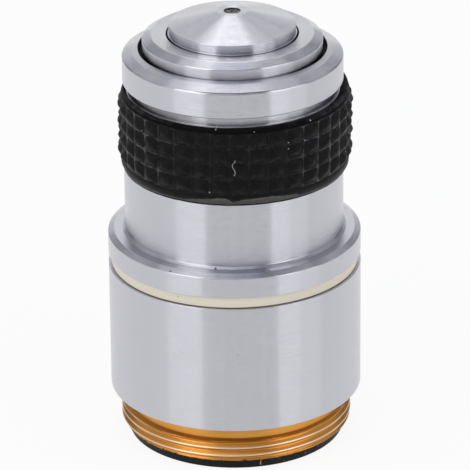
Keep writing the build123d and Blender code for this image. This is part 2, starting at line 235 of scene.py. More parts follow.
def tool_marks(tree, point, lathe, mark_width, fade_length):
    """Fine rings left by a turning tool. They are mark_width apart and change slowly
    round the piece, over fade_length."""
    slow = add(tree, "VectorMath", "MULTIPLY",
               in_0=point, in_1=(mark_width / fade_length, mark_width / fade_length, 0))
    across = add(tree, "CombineXYZ", Z=lathe)
    mixed = add(tree, "VectorMath", "ADD", in_0=slow.outputs[0], in_1=across.outputs[0])
    return add(tree, "TexNoise", in_0=mixed.outputs[0], Scale=1 / mark_width,
               Detail=2.0, Roughness=0.6).outputs[0]


def grooved_normal(tree, point, lathe, groove_width, steepness, facing_share):
    """The slopes of fine tool grooves, which lean the surface along the axis but never
    round it. They spread reflections into upright streaks. Flat faces were cut with
    another feed, so their grooves are facing_share as steep."""
    normal = add(tree, "NewGeometry").outputs["Normal"]
    climb = add(tree, "SeparateXYZ", in_0=normal)
    faced = add(tree, "MapRange", in_0=climb.outputs["Z"], in_1=0.93, in_2=0.99,
                in_3=steepness, in_4=steepness * facing_share)
    around = add(tree, "Tangent", settings=ROUND_Z)
    along = add(tree, "VectorMath", "CROSS_PRODUCT", in_0=normal, in_1=around.outputs[0])
    groove = tool_marks(tree, point, lathe, mark_width=groove_width, fade_length=1.2)
    level = add(tree, "Math", "SUBTRACT", in_0=groove, in_1=0.5)
    lean = add(tree, "Math", "MULTIPLY", in_0=level.outputs[0], in_1=faced.outputs[0])
    shift = add(tree, "VectorMath", "SCALE", in_0=along.outputs[0], Scale=lean.outputs[0])
    total = add(tree, "VectorMath", "ADD", in_0=normal, in_1=shift.outputs[0])
    return add(tree, "VectorMath", "NORMALIZE", in_0=total.outputs[0]).outputs[0]


def oiled_and_shaded_walls(tree, point, height, walls, shift):
    """How dark a wall in a narrow gap is: browned by old oil and darkened by painted shade.
    Each wall is given as its radius, how far the mark reaches on both sides of it, the
    heights where it begins to fade and where it ends, and its strength in front and
    beside. The walls' centre lies behind the axis by shift."""
    shown = 0.0
    across = add(tree, "SeparateXYZ", in_0=point).outputs["Y"]
    radius = from_axis(tree, point, (0, shift, 0))
    for wall_radius, reach, full, end, in_front, beside in walls:
        near = add(tree, "Math", "COMPARE", in_0=radius, in_1=wall_radius, in_2=reach)
        strength = add(tree, "MapRange", in_0=across, in_1=-7.5, in_2=-5, in_3=in_front, in_4=beside)
        deep = add(tree, "MapRange", in_0=height, in_1=full, in_2=end,
                   in_3=strength.outputs[0], in_4=0.0)
        mark = add(tree, "Math", "MULTIPLY", in_0=near.outputs[0], in_1=deep.outputs[0])
        shown = add(tree, "Math", "MAXIMUM", in_0=shown, in_1=mark.outputs[0]).outputs[0]
    return shown


def turned_plate(name, light_hex, dark_hex, roughness, steepness, facing_share, walls, specks,
                 walls_shift=0):
    """Chrome over turned brass: a bright, slightly blue metal. Reflections stay sharp
    round the piece and are drawn out along the axis by the lathe grooves under the
    plate, which also show as faint rings. Old oil has browned the walls of the gaps,
    and painted shade darkens them further and the left side of the neck above the
    rubber. The collar's edges in front carry a painted dark line, a painted reflection
    of the dark room in front."""
    made, tree = material(name)
    point, radius, height, lathe = lathe_place(tree)
    # The tool's feed was 0.1 mm, and the plate is a little cloudier over some 3 mm
    marks = tool_marks(tree, point, lathe, mark_width=0.1, fade_length=5.0)
    cloud = add(tree, "TexNoise", in_0=point, Scale=0.35, Detail=3.0).outputs[0]
    tone = add(tree, "Math", "MULTIPLY_ADD", {"use_clamp": True}, in_0=cloud, in_1=0.5, in_2=marks)
    plate = add(tree, "Mix", settings=COLOURS, in_0=tone.outputs[0],
                in_6=linear(dark_hex), in_7=linear(light_hex))
    across = add(tree, "SeparateXYZ", in_0=point)
    # Painted shade on the left side of the neck, just under the collar
    beside = add(tree, "MapRange", in_0=across.outputs["X"], in_1=-2.2, in_2=-4.0, in_3=0.0, in_4=0.5)
    on_neck = add(tree, "Math", "COMPARE", in_0=radius, in_1=neck_radius, in_2=0.06)
    below = add(tree, "Math", "LESS_THAN", in_0=height, in_1=collar_bottom + 0.05)
    neck_below_collar = add(tree, "Math", "MULTIPLY", in_0=on_neck.outputs[0], in_1=below.outputs[0])
    neck = add(tree, "Math", "MULTIPLY", in_0=neck_below_collar.outputs[0], in_1=beside.outputs[0])
    # Painted reflection: a dark line on the collar's edges in front. The collar's edge lies 0.04 to 0.13
    # mm inside its wall
    on_edge = add(tree, "Math", "COMPARE", in_0=radius, in_1=collar_radius - 0.085, in_2=0.045)
    in_front = add(tree, "MapRange", in_0=across.outputs["Y"], in_1=-8.8, in_2=-9.1, in_3=0.0, in_4=0.6)
    painted_shade = add(tree, "Math", "MULTIPLY_ADD",
                in_0=on_edge.outputs[0], in_1=in_front.outputs[0], in_2=neck.outputs[0])
    oil_and_painted_shade = add(tree, "Math", "MAXIMUM", in_1=painted_shade.outputs[0],
                in_0=oiled_and_shaded_walls(tree, point, height, walls, walls_shift))
    browned_and_shaded = add(tree, "Mix", settings=COLOURS, in_0=oil_and_painted_shade.outputs[0],
                  in_6=plate.outputs[2], in_7=linear("#3A342E"))
    colour = add(tree, "Mix", settings=COLOURS,
                 in_0=small_marks(tree, point, specks),
                 in_6=browned_and_shaded.outputs[2], in_7=linear("#2C2A2C"))
    rough = add(tree, "MapRange", in_0=marks, in_1=0.3, in_2=0.7,
                in_3=roughness - 0.01, in_4=roughness + 0.01)
    around = add(tree, "Tangent", settings=ROUND_Z)
    grooved = grooved_normal(tree, point, lathe, POLISH_WIDTH, steepness, facing_share)
    shader = add(tree, "BsdfPrincipled", Base_Color=colour.outputs[2], Metallic=1.0,
                 Roughness=rough.outputs[0], Anisotropic=1.0, Anisotropic_Rotation=0.25,
                 Tangent=around.outputs[0], Normal=grooved)
    add(tree, "OutputMaterial", Surface=shader.outputs[0])
    return made


def machined_brass(name):
    """Bare free-cutting brass straight from the lathe, orange gold with fine rings, and
    painted paler on the crests of the thread as a painted highlight. The foot of the
    mount and its bore are brushed with black paint, whose edge is ragged and has lost
    a few small flakes."""
    made, tree = material(name)
    point, radius, height, lathe = lathe_place(tree)
    # A feed of 0.09 mm, and paint edges ragged over some 0.5 mm as a small brush leaves them
    marks = tool_marks(tree, point, lathe, mark_width=0.09, fade_length=6.0)
    cloud = add(tree, "TexNoise", in_0=point, Scale=0.5, Detail=3.0).outputs[0]
    tone = add(tree, "Math", "MULTIPLY_ADD", {"use_clamp": True}, in_0=cloud, in_1=0.6, in_2=-0.1)
    brass = add(tree, "Mix", settings=COLOURS, in_0=tone.outputs[0],
                in_6=linear("#CE9040"), in_7=linear("#E6B060"))
    # Painted highlight: the crests of the thread are painted paler
    crest = add(tree, "MapRange", in_0=radius, in_1=thread_radius - 0.07,
                in_2=thread_radius - 0.02, in_3=0.0, in_4=0.9)
    crest_painted_highlight = add(tree, "Mix", settings=COLOURS, in_0=crest.outputs[0],
               in_6=brass.outputs[2], in_7=linear("#F6DCC0"))
    ragged = add(tree, "TexNoise", in_0=point, Scale=2.2, Detail=4.0, Roughness=0.75)
    edge = add(tree, "Math", "MULTIPLY_ADD", in_0=ragged.outputs[0], in_1=0.55, in_2=pilot_height - 0.2)
    low = add(tree, "Math", "LESS_THAN", in_0=height, in_1=edge.outputs[0])
    inside = add(tree, "Math", "LESS_THAN", in_0=radius, in_1=mount_bore_radius + 0.2)
    painted = add(tree, "Math", "MAXIMUM", in_0=low.outputs[0], in_1=inside.outputs[0])
    flakes = add(tree, "TexNoise", in_0=point, Scale=3.1, Detail=2.0)
    kept = add(tree, "Math", "LESS_THAN", in_0=flakes.outputs[0], in_1=0.72)
    paint = add(tree, "Math", "MULTIPLY", in_0=painted.outputs[0], in_1=kept.outputs[0])
    colour = add(tree, "Mix", settings=COLOURS, in_0=paint.outputs[0],
                 in_6=crest_painted_highlight.outputs[2], in_7=linear("#0D0C0C"))
    metal = add(tree, "Math", "SUBTRACT", in_0=1.0, in_1=paint.outputs[0])
    rough = add(tree, "Mix", in_0=paint.outputs[0], in_2=0.3, in_3=0.55)
    brushed = add(tree, "TexNoise", in_0=point, Scale=6.0, Detail=3.0)
    relief = add(tree, "Mix", in_0=paint.outputs[0], in_2=marks, in_3=brushed.outputs[0])
    bump = add(tree, "Bump", Strength=0.25, Distance=0.02 * MM, Height=relief.outputs[0])
    around = add(tree, "Tangent", settings=ROUND_Z)
    shader = add(tree, "BsdfPrincipled", Base_Color=colour.outputs[2],
                 Metallic=metal.outputs[0], Roughness=rough.outputs[0],
                 Specular_IOR_Level=0.22, Anisotropic=0.7, Anisotropic_Rotation=0.25,
                 Tangent=around.outputs[0], Normal=bump.outputs[0])
    add(tree, "OutputMaterial", Surface=shader.outputs[0])
    return made


def cream_plastic(name):
    """Turned acetal ring, warm ivory with a soft shine and very fine turning rings."""
    made, tree = material(name)
    point, _, _, lathe = lathe_place(tree)
    marks = tool_marks(tree, point, lathe, mark_width=0.12, fade_length=8.0)
    ivory = add(tree, "Mix", settings=COLOURS, in_0=marks,
                in_6=linear("#DFD5C0"), in_7=linear("#E9E2D1"))
    colour = add(tree, "Mix", settings=COLOURS,
                 in_0=small_marks(tree, point, ring_specks),
                 in_6=ivory.outputs[2], in_7=linear("#2C2A28"))
    rough = add(tree, "MapRange", in_0=marks, in_1=0.3, in_2=0.7, in_3=0.36, in_4=0.46)
    bump = add(tree, "Bump", Strength=0.2, Distance=0.01 * MM, Height=marks)
    shader = add(tree, "BsdfPrincipled", Base_Color=colour.outputs[2], IOR=1.48,
                 Roughness=rough.outputs[0], Normal=bump.outputs[0])
    add(tree, "OutputMaterial", Surface=shader.outputs[0])
    return made


def moulded_rubber(name, dark_hex, light_hex, dust_and_sheen_hex, roughness, shine):
    """Black nitrile rubber from a mould: nearly matt and uneven, with a painted grey
    sheen on the undersides of the pyramids, a thin line of dust in the furrows, painted
    thicker and brighter on the two sides as a sheen, and a few pale specks."""
    made, tree = material(name)
    point, _, height, _ = lathe_place(tree)
    # Mould texture some 0.2 mm wide, painted underside sheen in patches of 0.4 mm, dust in crumbs of 0.6
    # mm
    cloud = add(tree, "TexNoise", in_0=point, Scale=0.9, Detail=4.0).outputs[0]
    facing = add(tree, "SeparateXYZ", in_0=add(tree, "NewGeometry").outputs["Normal"])
    # Painted sheen: faces turned downwards are painted lighter, in light_hex, in place of the floor's
    # reflection
    under = add(tree, "MapRange", in_0=facing.outputs["Z"], in_1=0.0, in_2=-0.4, in_3=0.15, in_4=1.0)
    mottle = add(tree, "TexNoise", in_0=point, Scale=2.6, Detail=5.0, Roughness=0.7)
    uneven = add(tree, "MapRange", in_0=mottle.outputs[0], in_1=0.42, in_2=0.7, in_3=0.1, in_4=1.3)
    underside_sheen = add(tree, "Math", "MULTIPLY", {"use_clamp": True},
                in_0=under.outputs[0], in_1=uneven.outputs[0])
    black = add(tree, "Mix", settings=COLOURS, in_0=underside_sheen.outputs[0],
                in_6=linear(dark_hex), in_7=linear(light_hex))
    climb = add(tree, "MapRange", in_0=height, in_1=grip_bottom, in_2=grip_rows_top,
                in_3=grip_shift_low, in_4=grip_shift_high)
    centre = add(tree, "CombineXYZ", X=climb.outputs[0])
    reach = from_axis(tree, point, centre.outputs[0])
    depth = add(tree, "MapRange", in_0=reach, in_1=grip_furrow_radius + 0.005,
                in_2=grip_furrow_radius + 0.02, in_3=1.0, in_4=0.0)
    crumbs = add(tree, "TexNoise", in_0=point, Scale=1.7, Detail=5.0, Roughness=0.7)
    patchy = add(tree, "MapRange", in_0=crumbs.outputs[0], in_1=0.4, in_2=0.66, in_3=0.0, in_4=0.11)
    # Dust in the furrows, painted far thicker towards the two sides as a painted sheen
    across = add(tree, "SeparateXYZ", in_0=point)
    beside = add(tree, "Math", "ABSOLUTE", in_0=across.outputs["X"])
    sides = add(tree, "MapRange", in_0=beside.outputs[0], in_1=4.5, in_2=9, in_3=0.75, in_4=9.0)
    dust_and_side_sheen = add(tree, "Math", "MULTIPLY", in_0=patchy.outputs[0], in_1=sides.outputs[0])
    dust_and_sheen = add(tree, "Math", "MULTIPLY", {"use_clamp": True},
               in_0=depth.outputs[0], in_1=dust_and_side_sheen.outputs[0])
    dusty_and_sheened = add(tree, "Mix", settings=COLOURS, in_0=dust_and_sheen.outputs[0],
                in_6=black.outputs[2], in_7=linear(dust_and_sheen_hex))
    plain = add(tree, "VectorMath", "MULTIPLY", in_0=point, in_1=(1, 1, 0))
    out = add(tree, "VectorMath", "NORMALIZE", in_0=plain.outputs[0])
    wide = add(tree, "VectorMath", "SCALE", in_0=out.outputs[0], Scale=SPECK_CYLINDER)
    lift = add(tree, "CombineXYZ", Z=height)
    wall = add(tree, "VectorMath", "ADD", in_0=wide.outputs[0], in_1=lift.outputs[0])
    colour = add(tree, "Mix", settings=COLOURS,
                 in_0=small_marks(tree, wall.outputs[0], grip_specks),
                 in_6=dusty_and_sheened.outputs[2], in_7=linear("#B4B4B4"))
    grain = add(tree, "TexNoise", in_0=point, Scale=4.5, Detail=4.0, Roughness=0.6)
    bump = add(tree, "Bump", Strength=0.6, Distance=0.14 * MM, Height=grain.outputs[0])
    rough = add(tree, "MapRange", in_0=cloud, in_1=0.3, in_2=0.7,
                in_3=roughness - 0.06, in_4=roughness + 0.06)
    shader = add(tree, "BsdfPrincipled", Base_Color=colour.outputs[2],
                 Specular_IOR_Level=shine, Roughness=rough.outputs[0], Normal=bump.outputs[0])
    add(tree, "OutputMaterial", Surface=shader.outputs[0])
    return made


def matt_black_paint(name):
    """Optical black paint on turned brass: dead matt, slightly uneven, so that stray
    light dies inside the barrel."""
    made, tree = material(name)
    point, _, _, lathe = lathe_place(tree)
    marks = tool_marks(tree, point, lathe, mark_width=0.15, fade_length=5.0)
    colour = add(tree, "Mix", settings=COLOURS, in_0=marks,
                 in_6=linear("#121213"), in_7=linear("#1F1F20"))
    grain = add(tree, "TexNoise", in_0=point, Scale=7.0, Detail=3.0)
    bump = add(tree, "Bump", Strength=0.3, Distance=0.02 * MM, Height=grain.outputs[0])
    rough = add(tree, "MapRange", in_0=marks, in_1=0.3, in_2=0.7, in_3=0.6, in_4=0.75)
    shader = add(tree, "BsdfPrincipled", Base_Color=colour.outputs[2],
                 Roughness=rough.outputs[0], Normal=bump.outputs[0])
    add(tree, "OutputMaterial", Surface=shader.outputs[0])
    return made


def bright_metal(name, light_hex, dark_hex, roughness, mark_width):
    """Plain rolled, drawn or turned metal with fine lines along its making."""
    made, tree = material(name)
    point, _, _, lathe = lathe_place(tree)
    marks = tool_marks(tree, point, lathe, mark_width=mark_width, fade_length=4.0)
    colour = add(tree, "Mix", settings=COLOURS, in_0=marks,
                 in_6=linear(dark_hex), in_7=linear(light_hex))
    rough = add(tree, "MapRange", in_0=marks, in_1=0.3, in_2=0.7,
                in_3=roughness - 0.05, in_4=roughness + 0.05)
    bump = add(tree, "Bump", Strength=0.2, Distance=0.01 * MM, Height=marks)
    shader = add(tree, "BsdfPrincipled", Base_Color=colour.outputs[2], Metallic=1.0,
                 Roughness=rough.outputs[0], Normal=bump.outputs[0])
    add(tree, "OutputMaterial", Surface=shader.outputs[0])
    return made


def polished_glass(name, oil_share):
    """Polished crown glass. A trace of cleaning haze keeps it from being a flat tone, and
    dried immersion oil lies on oil_share of it in dark crumbs."""
    made, tree = material(name)
    point = lathe_place(tree)[0]
    haze = add(tree, "TexNoise", in_0=point, Scale=1.3, Detail=3.0)
    rough = add(tree, "MapRange", in_0=haze.outputs[0], in_1=0.4, in_2=0.8, in_3=0.0, in_4=0.03)
    tint = add(tree, "Mix", settings=COLOURS, in_0=haze.outputs[0],
               in_6=linear("#EEF3F4"), in_7=linear("#F6F9FA"))
    glass = add(tree, "BsdfPrincipled", Base_Color=tint.outputs[2], IOR=1.52,
                Transmission_Weight=1.0, Roughness=rough.outputs[0])
    crumbs = add(tree, "TexNoise", in_0=point, Scale=5.0, Detail=1.0)
    dried = add(tree, "MapRange", in_0=crumbs.outputs[0], in_1=0.66 - 0.3 * oil_share,
                in_2=0.72 - 0.3 * oil_share, in_3=0.0, in_4=min(1, 4 * oil_share))
    oil = add(tree, "BsdfPrincipled", Base_Color=linear("#161514"), Roughness=0.8,
              Specular_IOR_Level=0.1)
    both = add(tree, "MixShader", in_0=dried.outputs[0], in_1=glass.outputs[0],
               in_2=oil.outputs[0])
    add(tree, "OutputMaterial", Surface=both.outputs[0])
    return made


# The rubber grip's moulded relief. The ring sits a little off centre, towards +X.
grip_lip_radius = 9.66
grip_lip_height = 0.9
grip_hem = 0.1              # how far the lip's flash hangs below the moulded edge
grip_bulge_radius = 9.84
grip_furrow_radius = 9.78
grip_tip_radius = 10.15
grip_row_pitch = 1.39
grip_rows = 4
grip_columns = 37
grip_turn = math.radians(-3.1)
grip_rows_bottom = grip_bottom + grip_lip_height
grip_rows_top = grip_rows_bottom + grip_rows * grip_row_pitch
grip_rim_radius = 9.85
grip_crown_radius = 9.65
grip_crown_low = 31.9       # the rim's top edge in front, where it is pressed down
grip_shift_low, grip_shift_high = 0.12, 0.2

# Pale specks on the rubber: azimuth in degrees, height, and radius of each. They are
# laid on a cylinder, since the relief is uneven.
grip_specks = [(azimuth, height, SPECK_CYLINDER, size) for azimuth, height, size in [
    (-8.8, 31.84, 0.055), (-12.2, 26.12, 0.07), (-52.8, 30.32, 0.05), (41.0, 31.74, 0.075),
    (10.2, 31.65, 0.045), (27.8, 30.27, 0.065), (27.8, 29.71, 0.05), (37.5, 30.07, 0.055),
    (72.2, 27.02, 0.06),
]]
# A pale worm of dried glue in front
grip_specks += [(0.7 * math.cos(0.45 * step), 29.2 - 0.08 * step, SPECK_CYLINDER, 0.04)
                for step in range(18)]

# Pits and dark specks on the plated metal and the cream ring: azimuth in degrees,
# height, distance from the axis, and radius of each
plate_specks = [
    (-9.8, 19.08, waist_foot_radius - 0.06, 0.1), (-30.2, 18.79, sleeve_radius - 0.1, 0.1),
    (1.0, 11.6, sleeve_radius, 0.06), (1.8, 10.68, sleeve_radius, 0.05),
    (67.0, 10.73, sleeve_radius, 0.05), (72.8, 8.78, sleeve_radius, 0.05),
]
nose_specks = [(8.8, 36.85, 7.24, 0.1)]
ring_specks = [(-27.0, 16.53, ring_radius, 0.06)]

# Walls of the two gaps round the nose, for their browned look and their painted shade
mouth_walls = [(guide_bore_radius, 0.36, collar_top - 0.3, collar_top - 0.06, 1, 1)]
nose_walls = [
    (nose_radius, 0.1, collar_top - 0.4, collar_top - 0.15, 1, 1),
    (nose_radius, 0.1, collar_top - 0.1, nose_edge, 0.2, 0.7),
    (recess_radius, 0.16, nose_top - 0.26, nose_top - 0.02, 1, 1),
    (stack_bore_radius, 0.55, recess_floor - 0.12, recess_floor + 0.12, 1, 1),
    (lens_hole_radius, 0.03, cell_tip - 0.03, cell_tip + 0.01, 1, 1),
]

sleeve_plate = turned_plate("satin chrome on turned brass", "#C6C6CD", "#C0C0C7", 0.22, 1.6,
                            0.35, mouth_walls, plate_specks, mouth_shift)
nose_plate = turned_plate("bright chrome on turned brass", "#C7C7CE", "#C0C1C9", 0.2, 1.2,
                          2.0, nose_walls, nose_specks)
mount_brass = machined_brass("bare machined brass with painted foot")
ring_plastic = cream_plastic("turned cream acetal")
grip_rubber = moulded_rubber("moulded black nitrile rubber", "#060607", "#242427", "#7A7A7E",
                             0.44, 0.12)
# The lip's grey-brown colours are a painted sheen on black rubber
lip_rubber = moulded_rubber("smooth lip of the black rubber with painted sheen", "#3A3634", "#645F5C", "#3C3836",
                            0.36, 0.5)
# The rim's darker colours and dimmer furrow colour are painted shade from the gap by the collar
rim_rubber = moulded_rubber("scuffed rim of the black rubber with painted shade", "#050505", "#1A1A1C", "#3A3A3C",
                            0.62, 0.05)
black_paint = matt_black_paint("matt optical black paint on brass")
shim_brass = bright_metal("rolled brass shim", "#D8B068", "#C69C52", 0.3, 0.1)
screw_steel = bright_metal("turned screw steel", "#C2C2C4", "#A9A9AC", 0.3, 0.05)
spring_steel = bright_metal("drawn spring steel wire", "#B4B4B8", "#9A9AA0", 0.28, 0.05)
lens_glass = polished_glass("polished crown glass", 0)
oily_glass = polished_glass("crown glass with dried immersion oil", 0.55)


def softened(corners, edge):
    """Breaks each corner of a closed (radius, height) outline with a small round, as a
    turner breaks an edge. Gives the new points with their outward directions. A corner
    may name its own round as a third number."""
    points = [np.array(c[:2], float) for c in corners]
    rounds = [c[2] if len(c) > 2 else edge for c in corners]
    count = len(points)
    area = sum(a[0] * b[1] - b[0] * a[1] for a, b in zip(points, points[1:] + points[:1]))
    side = 1 if area > 0 else -1
    made = []
    for i, here in enumerate(points):
        to_last = points[i - 1] - here
        to_next = points[(i + 1) % count] - here
        last_length, next_length = np.linalg.norm(to_last), np.linalg.norm(to_next)
        a, b = to_last / last_length, to_next / next_length
        half = math.acos(max(-1, min(1, float(a @ b)))) / 2
        tangent = min(rounds[i] / math.tan(half), 0.45 * last_length, 0.45 * next_length)
        size = tangent * math.tan(half)
        centre = here + (a + b) / np.linalg.norm(a + b) * (size / math.sin(half))
        start, end = here + a * tangent - centre, here + b * tangent - centre
        outward = side * (a[1] * b[0] - a[0] * b[1])
        first = math.atan2(start[1], start[0])
        sweep = math.remainder(math.atan2(end[1], end[0]) - first, 2 * math.pi)
        for step in range(EDGE_STEPS + 1):
            angle = first + sweep * step / EDGE_STEPS
            direction = np.array((math.cos(angle), math.sin(angle)))
            made.append((centre + direction * size, direction if outward > 0 else -direction))
    if side < 0:
        made.reverse()
    return made


def in_scene(name, data):
    """Puts a mesh, lamp or camera into the scene as an object."""
    made = bpy.data.objects.new(name, data)
    bpy.context.scene.collection.objects.link(made)
    return made


def mesh_object(name, vertices, faces, finishes, finish_of_face=None):
    """A smooth-shaded object. Where it has several finishes, each face's is named by its
    number."""
    mesh = bpy.data.meshes.new(name)
    mesh.from_pydata(vertices, [], faces)
    mesh.polygons.foreach_set("use_smooth", [True] * len(mesh.polygons))
    for finish in finishes:
        mesh.materials.append(finish)
    if finish_of_face is not None:
        mesh.polygons.foreach_set("material_index", finish_of_face)
    mesh.update()
    return in_scene(name, mesh)


def grid_faces(rows, columns, rows_meet=True, columns_meet=True):
    """Faces between rows of points. The last row and the last column may meet the first."""
    return [
        (r * columns + c, r * columns + (c + 1) % columns,
         (r + 1) % rows * columns + (c + 1) % columns, (r + 1) % rows * columns + c)
        for r in range(rows if rows_meet else rows - 1)
        for c in range(columns if columns_meet else columns - 1)
    ]


def turned(name, corners, finish, edge=0.05):
    """A turned ring-shaped piece with broken edges and exact shading across them."""
    outline = softened(corners, edge)
    angles = np.arange(ROUND_STEPS) * 2 * math.pi / ROUND_STEPS
    cos, sin = np.cos(angles), np.sin(angles)
    vertices, normals = [], []
    for (radius, height), (out, up) in outline:
        vertices.append(np.stack([radius * cos, radius * sin, np.full_like(cos, height)], 1))
        normals.append(np.stack([out * cos, out * sin, np.full_like(cos, up)], 1))
    made = mesh_object(name, (np.concatenate(vertices) * MM).tolist(),
                       grid_faces(len(outline), ROUND_STEPS), [finish])
    made.data.normals_split_custom_set_from_vertices(np.concatenate(normals).tolist())
    return made


def dress(piece, body, node):
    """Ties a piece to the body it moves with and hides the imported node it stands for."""
    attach(piece, body)
    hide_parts(node)


# Main sleeve: the plain outer shell
main_sleeve = turned("main_sleeve_turning", [
    (mount_tube_radius + slip_gap, undercut_floor),
    (undercut_radius, undercut_floor),
    (undercut_radius, shoulder_z),
    (sleeve_radius, shoulder_z, 0.1),
    (sleeve_radius, sleeve_top, 0.05),
    (spigot_radius + slip_gap, sleeve_top),
    (spigot_radius + slip_gap, ledge_top),
    (ledge_radius, ledge_top),
    (ledge_radius, ledge_bottom),
    (mount_tube_radius + slip_gap, ledge_bottom),
], sleeve_plate)
dress(main_sleeve, "housing", "main_sleeve")

# Cream ring in the groove between the sleeves
colour_ring = turned("cream_ring", [
    (spigot_radius + slip_gap, ring_bottom),
    (spigot_radius + 0.2, ring_bottom - ring_hem),
    (ring_radius, ring_bottom - ring_hem, 0.03),
    (ring_radius, ring_top, 0.03),
    (spigot_radius + slip_gap, ring_top),
], ring_plastic)
dress(colour_ring, "housing", "colour_ring")

# Front sleeve: flange, waist, grip seat, neck and collar in one turning
front_sleeve = turned("front_sleeve_turning", [
    (chamber_radius, spigot_bottom),
    (spigot_radius, spigot_bottom),
    (spigot_radius, ring_top),
    (sleeve_radius, ring_top, 0.05),
    (sleeve_radius, flange_edge, 0.12),
    (flange_bevel_radius, flange_top, 0.14),
    (waist_foot_radius, flange_top, 0.03),
    (waist_radius, waist_foot_top, 0.08),
    (waist_radius, grip_bottom),
    (grip_seat_radius, grip_bottom),
    (grip_seat_radius, grip_seat_top),
    (neck_foot_radius, grip_seat_top),
    (neck_radius, collar_bottom, 0.1),
    (collar_radius, collar_bottom, 0.14),
    (collar_radius, collar_edge, 0.22),
    (collar_bevel_radius, collar_top - lip_drop, 0.6),
    (collar_mouth_radius, collar_top, 0.06),
    (collar_mouth_radius, guide_top),
    (guide_bore_radius, guide_top),
    (guide_bore_radius, chamber_top),
    (chamber_radius, chamber_top),
], sleeve_plate)
# The mouth was bored a little off centre, so the gap is narrower in front than beside
for vertex in front_sleeve.data.vertices:
    if vertex.co.z > guide_top * MM and vertex.co.xy.length < (collar_mouth_radius + 0.2) * MM:
        vertex.co.y += mouth_shift * MM
dress(front_sleeve, "housing", "front_sleeve")

# Sliding nose barrel
nose_barrel = turned("nose_barrel_turning", [
    (stack_bore_radius, tail_bottom),
    (tail_radius, tail_bottom),
    (tail_radius, stop_bottom),
    (stop_radius, stop_bottom),
    (stop_radius, stop_top),
    (nose_radius, stop_top),
    (nose_radius, nose_edge, 0.13),
    (nose_bevel_radius, nose_top, 0.35),
    (recess_radius, nose_top, 0.06),
    (recess_radius, recess_floor, 0.08),
    (stack_bore_radius, recess_floor),
    (stack_bore_radius, socket_floor),
    (web_radius, socket_floor),
    (web_radius, web_bottom),
    (stack_bore_radius, web_bottom),
], nose_plate)
dress(nose_barrel, "lens_barrel", "nose_barrel")

# Conical front cell with the lens hole in its tip
front_cell = turned("front_cell_turning", [
    (lens_hole_radius, cell_tip, 0.03),
    (cell_tip_radius, cell_tip, 0.05),
    (cell_radius, cell_band_top, 0.06),
    (cell_radius, cell_foot_top, 0.01),
    (cell_foot_radius, cell_foot_top, 0.06),
    (cell_foot_radius, recess_floor),
    (cell_spigot_radius, recess_floor),
    (cell_spigot_radius, cell_spigot_end),
    (cell_cavity_radius, cell_spigot_end),
    (cell_cavity_radius, cell_cavity_top),
    (pocket_flare_radius, cell_cavity_top),
    (lens_pocket_radius, lens_pocket_end),
    (lens_pocket_radius, lens_face_z, 0.01),
    (lens_hole_radius, lens_face_z, 0.01),
], nose_plate)
dress(front_cell, "lens_barrel", "front_lens_cell")


def thread_form(turns):
    """Height of the thread's surface, from 0 at the root to 1 at the crest, for a
    distance along the axis counted in pitches. Crest and root are narrow flats."""
    saw = 1 - 2 * np.abs(turns - np.floor(turns) - 0.5)
    return 1 - np.clip((saw - thread_crest_share) / thread_flank_share, 0, 1)


def make_thread_mount():
    """The threaded mount: a real single-start helix between a lead-in bevel at the foot
    and the relief groove under the shoulder."""
    per_pitch = 20
    rows = np.arange(-2 * per_pitch, round((thread_top - pilot_height) / thread_pitch * per_pitch) + 2)
    angles = np.arange(ROUND_STEPS + 1) * 2 * math.pi / ROUND_STEPS

    def ring(radius, height):
        """One loop of points, whose radius or height may change round it."""
        radius = np.broadcast_to(radius, angles.shape)
        return np.stack([radius * np.cos(angles), radius * np.sin(angles),
                         np.broadcast_to(height, angles.shape)], 1)

    loops = [ring(r, z) for r, z in [
        (pilot_radius - pilot_bevel, 0), (pilot_radius - 0.03, 0.03), (pilot_radius, pilot_bevel),
        (pilot_radius, pilot_height - 0.04), (pilot_radius + 0.03, pilot_height),
    ]]
    for row in rows:
        free = pilot_height + thread_pitch * (row / per_pitch + angles / (2 * math.pi) + thread_turn)
        height = np.clip(free, pilot_height, thread_top)
        turns = height / thread_pitch - angles / (2 * math.pi) - thread_turn
        radius = thread_radius - thread_depth * (1 - thread_form(turns))
        lead = thread_radius - thread_depth + (height - pilot_height) * thread_depth / thread_lead
        runout = relief_radius + (thread_top - height) * thread_runout_slope
        loops.append(ring(np.minimum(radius, np.minimum(lead, runout)), height))
    loops += [ring(r, z) for r, z in [
        (relief_radius, thread_top + 0.06), (relief_radius, undercut_floor - 0.02),
        (relief_radius - 0.02, undercut_floor), (mount_tube_radius, undercut_floor),
        (mount_tube_radius, mount_top - 0.05), (mount_tube_radius - 0.05, mount_top),
        (mount_throat_radius + 0.05, mount_top), (mount_throat_radius, mount_top - 0.05),
        (mount_throat_radius, mount_bore_depth), (mount_bore_radius, mount_bore_depth),
        (mount_bore_radius, 0.12), (mount_bore_radius + 0.1, 0),
    ]]
    made = mesh_object("thread_mount_turning", (np.concatenate(loops) * MM).tolist(),
                       grid_faces(len(loops), len(angles), columns_meet=False), [mount_brass])
    work = bmesh.new()
    work.from_mesh(made.data)
    bmesh.ops.remove_doubles(work, verts=work.verts, dist=0.0005 * MM)
    bmesh.ops.dissolve_degenerate(work, edges=work.edges, dist=0.0005 * MM)
    bmesh.ops.recalc_face_normals(work, faces=work.faces)
    work.to_mesh(made.data)
    work.free()
    made.data.set_sharp_from_angle(angle=math.radians(50))
    return made


thread_mount = make_thread_mount()
dress(thread_mount, "housing", "thread_mount")


